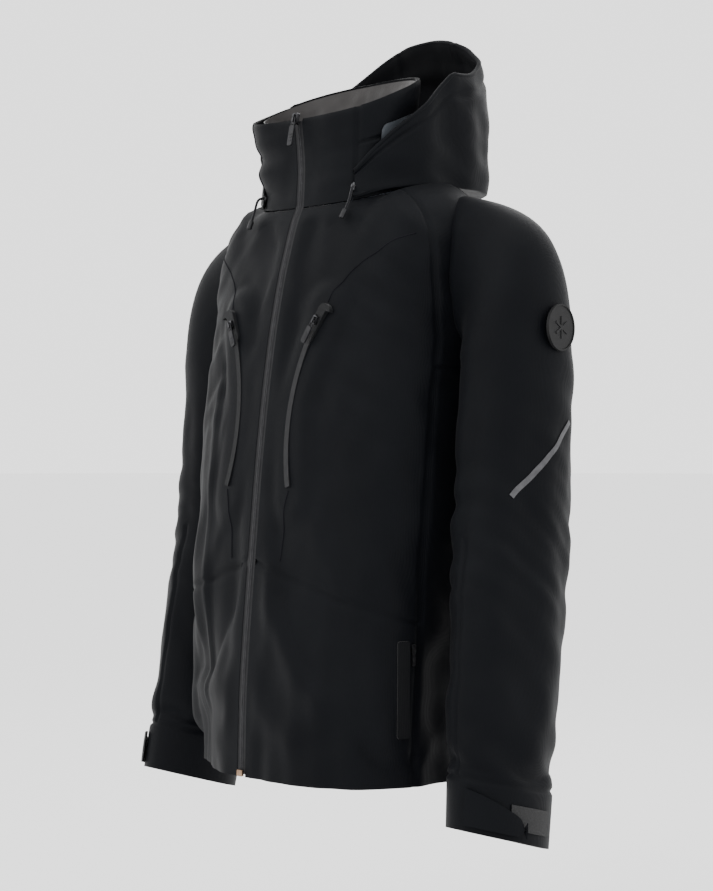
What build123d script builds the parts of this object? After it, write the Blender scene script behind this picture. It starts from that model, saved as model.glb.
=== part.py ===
from build123d import *
from math import atan2, ceil, cos, degrees, hypot, pi, radians, sin, tan
import os

# A ski jacket in millimetres: +Z up, front towards -Y, the wearer's left towards +X.
# The origin is the centre of the neck opening, level with the collar seam.

# ---- driving dimensions ----
SHELL = 4.0              # shell fabric with its backing
WADDING = 3.0            # insulation between shell and lining
LINING = 1.5             # satin lining
LINING_SPACE = 1.6       # room for the pocket bags under it
GAP = 0.3                # space between layers, and around moving pieces
HEM_Z = -645.0           # lower edge of the body

# body cross-sections, hem to neck: height, half width, front, back, tilt, depth factor
# (the factor keeps a layer's thickness where the shoulder lies nearly flat)
BODY = [
    (HEM_Z, 178, -149, 130, 0, 1),
    (-540, 181, -146, 134, 0, 1),
    (-400, 184, -134, 138, 0, 1),
    (-280, 184, -122, 140, 0, 1),
    (-170, 184, -107, 136, 0, 1),
    (-90, 183, -92, 126, 2, 1),
    (-38, 177, -79, 110, 5, 1.2),
    (-8, 150, -71, 93, 9, 1.5),
    (12, 100, -64, 68, 15, 1.3),
]
BODY_POWER = 3.0         # squareness of the body's rounded cross-section
COLLAR = [
    (14, 101, -63, 66, 15, 1),
    (64, 101, -61, 58, 19, 1),
    (124, 111, -66, 58, 24, 1),
]
COLLAR_POWER = 2.7
COLLAR_SHELL = 5.0
HOOD = [
    (20, 122, -75, 138, 0, 1),
    (75, 131, -82, 162, 0, 1),
    (140, 131, -75, 168, 0, 1),
    (212, 106, -15, 140, 0, 1),
]
HOOD_POWER = 2.6
HOOD_SHELL = 3.0
HOOD_RIM = ((-78.0, 22.0), (122.0, 210.0))   # rim plane, front and top, Y and Z
HOOD_SEAM_X = 62.0                           # seam between centre and side panels
HOOD_FRONT = -48.0       # front ends of the hood beside the collar, degrees from the side

SIDE_X = 150.0           # seam between side and back panels, and the raglan seams at the yoke
SIDE_TURN = -18.0        # seam between front and side panels, degrees from the side
YOKE_Z = -95.0           # seam across the back, and the foot of the raglan seams
UNDERARM_Z = -185.0      # foot of the shoulder panel
RAGLAN_FRONT = -18.0     # where the raglan seams meet the collar, degrees from the side
RAGLAN_BACK = 28.0
WAIST_INNER_Z = -405.0   # front seam beside the zip
WAIST_OUTER_X = 178.0    # the same seam at the side panel
WAIST_OUTER_Z = -466.0
SKIRT_TOP_Z = -440.0     # powder skirt
SKIRT_END_Z = -560.0
FLAP_HALF = 24.0         # storm flap behind the zip

ARM_X = 145.0            # plane of the armhole
ARM_Y = 14.0
ARM_Z = -89.0
ARM_R = 91.0             # radius of the armhole ring
PIT_X = 188.0            # armpit corner that the sleeve head turns about
PIT_Z = -180.0
ELBOW = Vector(244, 31, -372)
CUFF = Vector(268, -16, -692)
HEAD_SEMI = (56.5, 82.0)    # half width and half depth under the sleeve head
ELBOW_SEMI = (51.0, 73.0)
CUFF_SEMI = (45.0, 64.0)
SLEEVE_WALL = 4.0
ELBOW_CUT = 36.0         # rise of the upper sleeve's front edge, degrees
CUFF_TILT = 16.0         # forward tilt of the cuff's end
CUFF_SHARE = 0.82        # share of the forearm above the cuff band
TAB_START = -75.0        # cuff tab's sewn end and tip, degrees round the cuff
TAB_END = 28.0
TAB_THICK = 2.0
GRIP_END = 62.0

ZIP_TOP = (-67.0, 96.0)      # slider closed, on the face of the tape, Y and Z
ZIP_END = (-151.5, -626.0)   # slider at the hem
ZIP_BULGE = 13.2             # how far the front bows out between them
TAPE_HALF = 7.0
TAPE_GAP = 0.15          # from each tape to the middle
TAPE_INSET = 0.5         # how far the tapes lie under the face of the cloth
MAIN_SLIDER = (9.0, 4.0, 13.0)    # across, out, along
CHEST_SLIDER = (7.0, 3.5, 10.0)
CHEST_ARC = ((77.0, -132.0), (46.0, -228.0), (54.0, -322.0))   # top, middle, end, X and Z
CHEST_TAPE_HALF = 3.5
HAND_X = 176.0
HAND_TOP_Z = -487.0
HAND_END_Z = -592.0

GARAGE = (19.0, 46.0, 8.0)         # patch round the chest zip's top: width, height, corner
GARAGE_WINDOW = (9.4, 60.0, 4.0)   # the part of it left open for the slider
BAG_DEPTH = SHELL + WADDING + 2 * GAP
CHEST_BAG = (95.0, -170.0, -350.0, 42.0)    # middle X, top, end, half width
HAND_BAG = (125.0, -482.0, -630.0, 46.0)

BADGE_R = 25.0
BADGE_AT = (304.2, 43.0, -150.0)
BADGE_TURN = 8.7         # turn of the badge towards the back, degrees
STRIP_AT = (26.0, -290.0)   # middle of the reflective strip, Y and Z
STRIP_LEAN = 45.0
STRIP_SIZE = (112.0, 6.0)
CORD_R = 1.5
CORD_ROUTE = [
    (79.3, -50.2, 14.0), (81.4, -53.6, 14.2), (83.0, -57.5, 11.0),
    (83.6, -59.5, 4.5), (83.2, -62.5, -5.0), (82.3, -66.9, -13.7),
]
CORD_BEND = 0.45         # share of the shorter run that a bend takes
LEVEL_STEP = 50.0        # spacing of the sections that walls are drawn through
FAR = 900.0              # longer than the jacket, for cutting


# ---- rounded walls ----
def between(table, z):
    """Cross-section of a table at any height, on a smooth curve through its rows."""
    rows = sorted(table)
    z = min(max(z, rows[0][0]), rows[-1][0])
    at = max(i for i in range(len(rows) - 1) if rows[i][0] <= z)
    low, high = rows[at], rows[at + 1]
    before = rows[max(at - 1, 0)]
    after = rows[min(at + 2, len(rows) - 1)]
    span = high[0] - low[0]
    t = (z - low[0]) / span
    values = []
    for column in range(1, 6):
        a, b = low[column], high[column]
        slope_a = (b - before[column]) / (high[0] - before[0]) * span
        slope_b = (after[column] - a) / (after[0] - low[0]) * span
        values.append(
            a * (1 + 2 * t) * (1 - t) ** 2
            + slope_a * t * (1 - t) ** 2
            + b * t * t * (3 - 2 * t)
            - slope_b * t * t * (1 - t)
        )
    return (z, *values)


def round_point(wide, deep, turn, power):
    c, s = cos(radians(turn)), sin(radians(turn))
    size = (abs(c) ** power + abs(s) ** power) ** (-1 / power)
    return (wide * size * c, deep * size * s)


def turn_at(table, power, z, x):
    """Degrees from the side at which the outline has a given X."""
    wide = between(table, z)[1]
    rise = ((wide / x) ** power - 1) ** (1 / power)
    return degrees(atan2(rise, 1))


def section_plane(row):
    z, wide, front, back, tilt, factor = row
    lean = radians(tilt)
    return Plane(origin=(0, (front + back) / 2, z), x_dir=(1, 0, 0), z_dir=(0, -sin(lean), cos(lean)))


def wall_face(plane, wide, deep, outer, inner, start, end, power):
    """Flat face between two depths of an outline, from one turn to another."""
    count = max(3, ceil((end - start) / 10))
    turns = [start + (end - start) * i / count for i in range(count + 1)]
    outside = [round_point(wide - outer, deep - outer, turn, power) for turn in turns]
    inside = [round_point(wide - inner, deep - inner, turn, power) for turn in reversed(turns)]
    edges = [
        Spline(*outside),
        Line(outside[-1], inside[0]),
        Spline(*inside),
        Line(inside[-1], outside[0]),
    ]
    return plane * make_face(edges)


def levels(table, low, high):
    """Heights of the sections from low to high, shared by neighbouring pieces."""
    marks = {low, high, YOKE_Z, UNDERARM_Z}
    for below, above in zip(table, table[1:]):
        count = ceil((above[0] - below[0]) / LEVEL_STEP)
        marks.update(below[0] + (above[0] - below[0]) * i / count for i in range(count + 1))
    return sorted({round(z, 3) for z in marks if low <= z <= high})


def wall(table, power, low, high, start, end, outer, inner):
    """Curved wall piece between two heights; start and end give its edges at each height."""
    faces = []
    for z in levels(table, low, high):
        row = between(table, z)
        deep = (row[3] - row[2]) / 2 / cos(radians(row[4]))
        factor = row[5]
        faces.append(wall_face(
            section_plane(row), row[1], deep, outer * factor, inner * factor, start(z), end(z), power
        ))
    return loft(faces, ruled=True)


def oval(plane, wide, deep):
    points = [round_point(wide, deep, 15 * i, 2.0) for i in range(24)]
    return plane * make_face(Spline(*points, periodic=True))


# ---- plain shapes ----
def prism(plane, points, low, high):
    """Outline on a plane, pushed from one height above it to another."""
    face = make_face(Polyline(*points, close=True))
    return plane * (Pos(0, 0, low) * extrude(face, amount=high - low, dir=(0, 0, 1)))


SIDEWAYS = Plane(origin=(0, 0, 0), x_dir=(0, 1, 0), z_dir=(1, 0, 0))   # outlines in Y and Z
FORWARD = Plane(origin=(0, 0, 0), x_dir=(1, 0, 0), z_dir=(0, -1, 0))   # outlines in X and Z


def whole(shape):
    """The shape's solids without slivers."""
    kept = [solid for solid in shape.solids() if solid.volume > 1.0]
    return kept[0] if len(kept) == 1 else Compound(children=kept)


def flip(shape):
    return mirror(whole(shape), about=Plane.YZ)


def save(name, shape):
    export_step(whole(shape), f"parts/{name}.step")


def save_pair(name, left):
    """A left piece and its mirror image."""
    save(f"{name}_left", left)
    save(f"{name}_right", flip(left))


# ---- body ----
def side_front(z):
    """Edge between front and side pieces: the side seam, then the raglan seam up to the neck."""
    yoke = -turn_at(BODY, BODY_POWER, YOKE_Z, SIDE_X)
    if z < YOKE_Z:
        share = max(0.0, (z - UNDERARM_Z) / (YOKE_Z - UNDERARM_Z))
        return SIDE_TURN + (yoke - SIDE_TURN) * share
    share = (z - YOKE_Z) / (BODY[-1][0] - YOKE_Z)
    return yoke + (RAGLAN_FRONT - yoke) * share


def side_back(z):
    seam = turn_at(BODY, BODY_POWER, min(z, YOKE_Z), SIDE_X)
    share = max(0.0, (z - YOKE_Z) / (BODY[-1][0] - YOKE_Z))
    return seam + (RAGLAN_BACK - seam) * share


def zip_edge(table, power, x):
    return lambda z: -turn_at(table, power, z, x)


def body_wall(low, high, start, end, outer=0.0, inner=SHELL):
    return wall(BODY, BODY_POWER, low, high, start, end, outer, inner)


def armhole():
    """Round space beyond the left armhole plane."""
    return Pos(ARM_X + FAR / 2, ARM_Y, ARM_Z) * Rot(0, 90, 0) * Cylinder(ARM_R + GAP, FAR)


def below_waist():
    """Space under the slanting front seam of the left half."""
    points = [(-9, WAIST_INNER_Z), (WAIST_OUTER_X, WAIST_OUTER_Z), (FAR, WAIST_OUTER_Z), (FAR, -FAR), (-9, -FAR)]
    return prism(FORWARD, points, 0, FAR)


def front_wall():
    """The left front from zip to side seam; turns run from the zip outwards."""
    top = BODY[-1][0]
    return body_wall(HEM_Z, top, zip_edge(BODY, BODY_POWER, TAPE_HALF), side_front)


def side_panel():
    return body_wall(HEM_Z, UNDERARM_Z, side_front, side_back) - armhole()


def shoulder_panel():
    return body_wall(UNDERARM_Z, BODY[-1][0], side_front, side_back) - armhole()


def back_wall(low, high, outer=0.0, inner=SHELL):
    return body_wall(low, high, side_back, lambda z: 180 - side_back(z), outer, inner)


def inner_layer(outer, inner):
    """A layer all round the body from one side of the zip to the other."""
    start = zip_edge(BODY, BODY_POWER, FLAP_HALF)
    layer = body_wall(HEM_Z + 12, BODY[-1][0], start, lambda z: 180 - start(z), outer, inner)
    return layer - armhole() - flip(armhole())


def storm_flap():
    start = zip_edge(BODY, BODY_POWER, FLAP_HALF - 1)
    low, high = HEM_Z + 4, BODY[-1][0]
    return body_wall(low, high, lambda z: -180 - start(z), start, SHELL + GAP, SHELL + GAP + 2.5)


def powder_skirt():
    """Ring sewn at the waist that closes in towards the hips, in two halves with snaps."""
    depth = SHELL + WADDING + LINING + 4 * GAP
    start = zip_edge(BODY, BODY_POWER, FLAP_HALF + 2)
    low = between(BODY, SKIRT_END_Z)
    high = between(BODY, SKIRT_TOP_Z)
    squeezed = [
        (SKIRT_END_Z, low[1] - 34, low[2] + 30, low[3] - 30, 0, 1),
        (SKIRT_TOP_Z, high[1] - depth, high[2] + depth, high[3] - depth, 0, 1),
    ]
    return wall(squeezed, BODY_POWER, SKIRT_END_Z, SKIRT_TOP_Z, start, lambda z: 180 - start(z), 0, 1.5)


# ---- zips ----
def arc_frame():
    """Centre of the main slider's arc, seen from the side, and its radius."""
    (ya, za), (yb, zb) = ZIP_TOP, ZIP_END
    chord = hypot(yb - ya, zb - za)
    radius = (chord / 2) ** 2 / (2 * ZIP_BULGE) + ZIP_BULGE / 2
    back_y, back_z = (za - zb) / chord, (yb - ya) / chord
    reach = radius - ZIP_BULGE
    return (ya + yb) / 2 + back_y * reach, (za + zb) / 2 + back_z * reach, radius, chord


def main_tape():
    """Left tape along the body and the collar, open at the neck seam."""
    pieces = []
    spans = (
        (BODY, BODY_POWER, HEM_Z + 2, BODY[-1][0]),
        (COLLAR, COLLAR_POWER, COLLAR[0][0], COLLAR[-1][0] - 2),
    )
    for table, power, low, high in spans:
        middle = zip_edge(table, power, TAPE_GAP)
        edge = zip_edge(table, power, TAPE_HALF - 0.05)
        pieces.append(whole(wall(table, power, low, high, middle, edge, TAPE_INSET, TAPE_INSET + 2)))
    return Compound(children=pieces)


def slider_plane(y, z, lean):
    """Plane on the tape's face: its Y runs up the tape, its Z outwards."""
    return Plane(origin=(0, y, z), x_dir=(1, 0, 0), z_dir=(0, -cos(lean), sin(lean)))


def slider_body(plane, size):
    """Slider resting just over the tape, with a bridge for its puller."""
    across, out, along = size
    block = Pos(0, 0, GAP + out / 2) * Box(across, along, out)
    block = fillet(block.edges().filter_by(Axis.Z), across * 0.2)
    bridge_high = out + GAP
    bridge = Pos(0, 0, bridge_high + 1.2) * Box(1.8, along * 0.7, 2.6)
    hole = Pos(0, 0, bridge_high + 1.1) * Rot(0, 90, 0) * Cylinder(0.8, 4)
    return plane * (block + bridge - hole)


def puller_body(plane, size, length, width):
    """Wire link through the bridge and a moulded tab hanging from it."""
    out = size[1] + GAP + 1.1
    wire = 0.55
    top = Pos(0, 0, out) * Rot(0, 90, 0) * Cylinder(wire, width * 0.62)
    legs = [
        Pos(side * width * 0.31, -4.5, out) * Rot(90, 0, 0) * Cylinder(wire, 9)
        for side in (-1, 1)
    ]
    tab = Pos(0, -8.5 - length / 2, out) * Box(width, length, 2.2)
    tab = fillet(tab.edges().filter_by(Axis.Z), width * 0.3)
    ribs = [Pos(0, -8.5 - length * share, out) * Box(width * 0.6, 1.2, 3.0) for share in (0.45, 0.6, 0.75)]
    shape = top + legs[0] + legs[1] + tab
    for rib in ribs:
        shape += rib
    return plane * shape


def main_slider_plane():
    y, z = ZIP_TOP
    centre_y, centre_z, radius, chord = arc_frame()
    return slider_plane(y, z, atan2(z - centre_z, centre_y - y))


def zip_box():
    """Metal box that joins the tapes at the hem."""
    row = between(BODY, HEM_Z + 5)
    shape = Pos(0, row[2] - 1.4, HEM_Z + 4) * Box(9, 2.6, 7)
    return fillet(shape.edges().filter_by(Axis.Y), 1.2)


# ---- pockets ----
def front_point(x, z, table=BODY, power=BODY_POWER):
    """Point on the front of the body or the collar, on the section at height z."""
    row = between(table, z)
    turn = -turn_at(table, power, z, x)
    deep = (row[3] - row[2]) / 2 / cos(radians(row[4]))
    point = round_point(row[1], deep, turn, power)
    return section_plane(row).from_local_coords(Vector(*point, 0))


def front_plane(x, z, lift=0.0, table=BODY, power=BODY_POWER):
    """Plane touching the front: its Y runs up, its Z outwards."""
    here = front_point(x, z, table, power)
    across = (front_point(x + 2, z, table, power) - front_point(x - 2, z, table, power)).normalized()
    up = (front_point(x, z + 8, table, power) - front_point(x, z - 8, table, power)).normalized()
    out = across.cross(up).normalized()
    return Plane(origin=here + out * lift, x_dir=across, z_dir=out)


def chest_frame():
    return front_plane(*CHEST_ARC[1], lift=0.6)


def chest_path():
    """Zip line of the left chest pocket, drawn on the pocket's plane."""
    plane = chest_frame()
    flat = []
    for x, z in CHEST_ARC:
        local = plane.to_local_coords(front_point(x, z))
        flat.append((local.X, local.Y))
    return ThreePointArc(*flat)


def chest_strip(half, low, high):
    path = chest_path()
    strip = trace(path, line_width=2 * half)
    return chest_frame() * (Pos(0, 0, low) * extrude(strip, amount=high - low, dir=(0, 0, 1)))


def chest_patch(size, drop, low, high):
    """Rounded block in line with the top of the chest pocket zip."""
    wide, long, corner = size
    path = chest_path()
    top = path @ 0
    lean = degrees(atan2(-(path % 0).X, -(path % 0).Y))
    outline = Pos(top.X, top.Y - drop) * Rot(0, 0, -lean) * RectangleRounded(wide, long, corner)
    return chest_frame() * (Pos(0, 0, low) * extrude(outline, amount=high - low, dir=(0, 0, 1)))


def garage():
    """Bonded patch with a window for the slider."""
    window = chest_patch(GARAGE_WINDOW, 22, -6, 1)
    return chest_patch(GARAGE, 8, -5, 0.5) - window - chest_strip(CHEST_TAPE_HALF + 0.1, -9, 9)


def chest_slider_plane():
    plane = chest_frame()
    path = chest_path()
    start = path @ 0.03
    along = path % 0.03
    up = Vector(-along.X, -along.Y, 0)
    side = up.cross(Vector(0, 0, 1))
    origin = plane.from_local_coords(start)
    toward = (plane.from_local_coords(start + side) - origin).normalized()
    return Plane(origin=origin, x_dir=toward, z_dir=plane.z_dir)


def hand_frame():
    return front_plane(HAND_X, (HAND_TOP_Z + HAND_END_Z) / 2, lift=0.4)


def hand_welt(grow, low, high):
    length = HAND_TOP_Z - HAND_END_Z
    shape = RectangleRounded(15 + grow, length + grow, 3)
    return hand_frame() * (Pos(0, 0, low) * extrude(shape, amount=high - low, dir=(0, 0, 1)))


def hand_slider():
    """Slider with a short tab, running beside the welt."""
    size = (5.0, 3.0, 9.0)
    at = Pos(11.5, (HAND_TOP_Z - HAND_END_Z) / 2 - 8, 0)
    block = Pos(0, 0, size[1] / 2) * Box(size[0], size[2], size[1])
    tab = Pos(0, -11, size[1] - 0.9) * Box(4, 16, 1.6)
    tab = fillet(tab.edges().filter_by(Axis.Z), 1.6)
    return hand_frame() * (at * (fillet(block.edges().filter_by(Axis.Z), 1.2) + tab))


def bag_edge(x):
    return lambda z: -turn_at(BODY, BODY_POWER, z, x)


def pocket_bag(middle, top, end, half):
    """Flat pocket bag between wadding and lining."""
    edges = bag_edge(middle - half), bag_edge(middle + half)
    return body_wall(end, top, *edges, BAG_DEPTH, BAG_DEPTH + 1)


# ---- sleeves ----
def arm_plane(theta, middle, y):
    """Section plane of the sleeve head, turned about the armpit corner."""
    out = Vector(sin(radians(theta)), 0, cos(radians(theta)))
    origin = Vector(PIT_X, y, PIT_Z) + out * middle
    return Plane(origin=origin, x_dir=out, z_dir=out.cross(Vector(0, 1, 0)))


def upper_sections(inset):
    faces = []
    ring = ARM_R - inset
    lift = ARM_Z - PIT_Z
    for x in (ARM_X + GAP, PIT_X):
        plane = Plane(origin=(x, ARM_Y, ARM_Z), x_dir=(0, 0, 1), z_dir=(-1, 0, 0))
        faces.append(oval(plane, ring, ring))
    for step in range(1, 7):
        share = (1 - cos(pi * step / 6)) / 2
        middle = lift + (HEAD_SEMI[0] + 2 - lift) * share
        radial = ARM_R + (HEAD_SEMI[0] - ARM_R) * share - inset
        deep = ARM_R + (HEAD_SEMI[1] - ARM_R) * share - inset
        y = ARM_Y + (26 - ARM_Y) * share
        faces.append(oval(arm_plane(15 * step, middle, y), radial, deep))
    end = Plane(origin=ELBOW, x_dir=(1, 0, 0), z_dir=(0, 0, 1))
    wide, deep = (semi + SLEEVE_WALL + 1 - inset for semi in ELBOW_SEMI)
    faces.append(oval(end, wide, deep))
    return faces


def upper_shell(outer, inner):
    """Wall of the upper sleeve between two depths, in two lofts round the bend."""
    out, inn = upper_sections(outer), upper_sections(inner)
    half = len(out) // 2
    head = loft(out[:half + 1], ruled=True) - loft(inn[:half + 1], ruled=True)
    arm = loft(out[half:], ruled=True) - loft(inn[half:], ruled=True)
    return head + arm


def elbow_wedge():
    """Space cleared from the upper sleeve's front edge so that the elbow can bend."""
    rise = FAR * tan(radians(ELBOW_CUT))
    points = [(0, 0), (-FAR, rise), (-FAR, -FAR), (0, -FAR)]
    return Pos(*ELBOW) * prism(SIDEWAYS, points, -FAR, FAR)


def upper_sleeve():
    return upper_shell(0, SLEEVE_WALL) - elbow_wedge()


def forearm_row(share):
    """Centre, half width, half depth and tilt of the forearm at a share of its length."""
    centre = ELBOW + (CUFF - ELBOW) * share
    wide = ELBOW_SEMI[0] + (CUFF_SEMI[0] - ELBOW_SEMI[0]) * share
    deep = ELBOW_SEMI[1] + (CUFF_SEMI[1] - ELBOW_SEMI[1]) * share
    return centre, wide, deep, CUFF_TILT * share


def forearm_plane(share):
    centre, wide, deep, tilt = forearm_row(share)
    return Plane(origin=centre, x_dir=(1, 0, 0), z_dir=(0, sin(radians(tilt)), cos(radians(tilt))))


def forearm_solid(start, end, inset):
    faces = []
    for i in range(4):
        share = start + (end - start) * i / 3
        centre, wide, deep, tilt = forearm_row(share)
        faces.append(oval(forearm_plane(share), wide - inset, deep - inset))
    return loft(faces, ruled=True)


def forearm_tube(start, end):
    return forearm_solid(start, end, 0) - forearm_solid(start, end, SLEEVE_WALL)


def elbow_ball():
    """Hidden fold of cloth inside the upper sleeve, round about the elbow's axis."""
    wide, deep = ELBOW_SEMI
    outer = scale(Sphere(deep), by=(wide / deep, 1, 1))
    inner = scale(Sphere(deep), by=((wide - 3) / deep, (deep - 3) / deep, (deep - 3) / deep))
    front = [(0, 0), (-FAR, 0), (-FAR, FAR * tan(radians(ELBOW_CUT + 6)))]
    back = [(0, 0), (FAR, 0), (FAR, FAR), (FAR * tan(radians(28)), FAR)]
    shell = outer - inner
    core = Rot(0, 90, 0) * Cylinder(6, FAR)
    pieces = []
    for points in (front, back):
        pieces.append((shell & prism(SIDEWAYS, points, -FAR, FAR)) - core)
    return [whole(Pos(*ELBOW) * piece) for piece in pieces]


def cuff_piece(start, end, turn_start, turn_end, lift, thick):
    """Strip lying on the cuff between two shares of the forearm and two turns."""
    faces = []
    for share in (start, (start + end) / 2, end):
        centre, wide, deep, tilt = forearm_row(share)
        faces.append(wall_face(
            forearm_plane(share), wide, deep, -lift - thick, -lift, turn_start, turn_end, 2.0
        ))
    return loft(faces, ruled=True)


def sleeve_strip():
    """Reflective strip running down and forwards round the upper sleeve."""
    band = upper_shell(-0.8, -0.2)
    plane = Plane(origin=(PIT_X + 40, *STRIP_AT), x_dir=(0, 1, 0), z_dir=(1, 0, 0))
    outline = Rot(0, 0, STRIP_LEAN) * Rectangle(*STRIP_SIZE)
    return band & (plane * extrude(outline, amount=200, dir=(0, 0, 1)))


def badge():
    """Round rubber badge with a raised rim and a plain snowflake of bars."""
    base = Cylinder(BADGE_R, 2.4)
    rim = Pos(0, 0, 1.6) * (Cylinder(BADGE_R, 0.9) - Cylinder(BADGE_R - 1.6, 0.9))
    shape = base + rim
    for step in range(3):
        shape += Pos(0, 0, 1.6) * Rot(0, 0, 60 * step) * Box(24, 2.2, 0.9)
    turn = radians(BADGE_TURN)
    return Plane(origin=BADGE_AT, x_dir=(0, 0, -1), z_dir=(cos(turn), sin(turn), 0)) * shape


# ---- collar and hood ----
def collar_wall(outer, inner, half, low=None, high=None):
    start = zip_edge(COLLAR, COLLAR_POWER, half)
    low = COLLAR[0][0] if low is None else low
    high = COLLAR[-1][0] if high is None else high
    return wall(COLLAR, COLLAR_POWER, low, high, start, lambda z: 180 - start(z), outer, inner)


def hanger_loop():
    """Cord loop sewn inside the back of the neck."""
    bent = FilletPolyline((-26, 50, 26), (-22, 40, 22), (22, 40, 22), (26, 50, 26), radius=5)
    return sweep(Plane(bent @ 0, z_dir=bent % 0) * Circle(1.6), path=bent)


def rim_side():
    """Space in front of the hood's rim."""
    (ya, za), (yb, zb) = HOOD_RIM
    run, rise = yb - ya, zb - za
    points = [
        (ya - 2 * run, za - 2 * rise), (yb + 2 * run, zb + 2 * rise),
        (ya - 2 * run, zb + 2 * rise),
    ]
    return prism(SIDEWAYS, points, -FAR, FAR)


def hood_wall(start, end, outer, inner):
    low, high = HOOD[0][0], HOOD[-1][0]
    return wall(HOOD, HOOD_POWER, low, high, start, end, outer, inner) - rim_side()


def hood_seam(z):
    return turn_at(HOOD, HOOD_POWER, z, HOOD_SEAM_X)


# ---- cords ----
def cord_bends():
    """Largest bend that fits at each corner of the cord's route."""
    points = [Vector(*p) for p in CORD_ROUTE]
    radii = []
    for a, b, c in zip(points, points[1:], points[2:]):
        turn = radians((b - a).get_angle(c - b))
        shorter = min((b - a).length, (c - b).length)
        radii.append(CORD_BEND * shorter / tan(turn / 2))
    return radii


def cord():
    path = FilletPolyline(*CORD_ROUTE, radius=cord_bends())
    shape = sweep(Plane(path @ 0, z_dir=path % 0) * Circle(CORD_R), path=path)
    print("cord length", round(path.length, 1), "volume ratio",
          round(shape.volume / (pi * CORD_R ** 2 * path.length), 4))
    print("cord bends", [round(radius, 1) for radius in cord_bends()])
    return shape


def cord_tip():
    """Barrel tip that closes the cord's free end."""
    a, b = Vector(*CORD_ROUTE[-2]), Vector(*CORD_ROUTE[-1])
    way = (b - a).normalized()
    barrel = Pos(0, 0, 5.5) * Cylinder(2.9, 11)
    barrel = fillet(barrel.edges(), 0.9)
    return Plane(origin=b, z_dir=way) * barrel


def cord_eyelet():
    """Eyelet that the cord comes out of."""
    a, b = Vector(*CORD_ROUTE[0]), Vector(*CORD_ROUTE[1])
    way = (b - a).normalized()
    return Plane(origin=a, z_dir=way) * (Pos(0, 0, -0.85) * Cylinder(4.2, 1.7))


# ---- everything ----
def save_body():
    low = below_waist()
    wide, long, corner = GARAGE
    chest_cut = chest_strip(CHEST_TAPE_HALF + 0.1, -7, 8) + chest_patch((wide + 0.2, long + 0.2, corner), 8, -7, 8)
    hand_cut = hand_welt(0.2, -9, 8)
    front = front_wall()
    save_pair("front_panel", front - low - armhole() - chest_cut)
    save_pair("lower_front_panel", (front & low) - hand_cut)
    save_pair("side_panel", side_panel())
    save_pair("shoulder_panel", shoulder_panel())
    save("back_panel", back_wall(HEM_Z, YOKE_Z) - armhole() - flip(armhole()))
    save("back_yoke", back_wall(YOKE_Z, BODY[-1][0]) - armhole() - flip(armhole()))
    start = SHELL + 5 * GAP
    save("wadding", inner_layer(start, SHELL + GAP + WADDING) - chest_cut - flip(chest_cut) - hand_cut - flip(hand_cut))
    start = SHELL + WADDING + 2 * GAP + LINING_SPACE
    save("body_lining", inner_layer(start, start + LINING))
    save("storm_flap", storm_flap())
    save("powder_skirt", powder_skirt())


def save_zips():
    save_pair("zip_tape", main_tape())
    save("zip_box", zip_box())
    plane = main_slider_plane()
    save("main_slider", slider_body(plane, MAIN_SLIDER))
    save("main_puller", puller_body(plane, MAIN_SLIDER, 24, 8))


def save_pockets():
    save_pair("chest_tape", chest_strip(CHEST_TAPE_HALF, -5, 0))
    save_pair("chest_garage", garage())
    plane = chest_slider_plane()
    save_pair("chest_slider", slider_body(plane, CHEST_SLIDER))
    save_pair("chest_puller", puller_body(plane, CHEST_SLIDER, 20, 7))
    save_pair("hand_welt", hand_welt(0, -4, 1.2))
    save_pair("hand_slider", hand_slider())
    chest, hand = pocket_bag(*CHEST_BAG), pocket_bag(*HAND_BAG)
    save("chest_pocket_bags", Compound(children=[whole(chest), flip(chest)]))
    save("hand_pocket_bags", Compound(children=[whole(hand), flip(hand)]))


def save_sleeves():
    save_pair("upper_sleeve", upper_sleeve())
    save_pair("forearm_sleeve", Compound(children=[whole(forearm_tube(0, CUFF_SHARE)), *elbow_ball()]))
    save_pair("cuff_band", forearm_tube(CUFF_SHARE, 1))
    save_pair("cuff_tab", cuff_piece(0.86, 0.985, TAB_START, TAB_END, 1.6, TAB_THICK))
    save_pair("grip_patch", cuff_piece(0.885, 0.96, TAB_START + 60, GRIP_END, 0.1, 1.1))
    save_pair("reflective_strip", sleeve_strip())
    save("sleeve_badge", badge())


def save_collar():
    save("collar_shell", collar_wall(0, COLLAR_SHELL, TAPE_HALF))
    save("collar_lining", collar_wall(COLLAR_SHELL + GAP, COLLAR_SHELL + GAP + LINING, TAPE_HALF + 2))
    save("hanger_loop", hanger_loop())


def save_hood():
    shell, lining = HOOD_SHELL, HOOD_SHELL + GAP
    save("hood_centre", hood_wall(hood_seam, lambda z: 180 - hood_seam(z), 0, shell))
    save_pair("hood_side", hood_wall(lambda z: HOOD_FRONT, hood_seam, 0, shell))
    save("hood_lining", hood_wall(lambda z: HOOD_FRONT + 1, lambda z: 179 - HOOD_FRONT, lining, lining + LINING))


def save_cords():
    save_pair("hood_cord", cord())
    save_pair("cord_tip", cord_tip())
    save_pair("cord_eyelet", cord_eyelet())


def main():
    os.makedirs("parts", exist_ok=True)
    save_body()
    save_zips()
    save_pockets()
    save_sleeves()
    save_collar()
    save_hood()
    save_cords()


if __name__ == "__main__":
    main()
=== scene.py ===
from math import atan, atan2, cos, degrees, hypot, pi, radians, sin, sqrt

import bpy
import numpy as np
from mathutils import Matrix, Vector, noise
from mathutils.bvhtree import BVHTree


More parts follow.
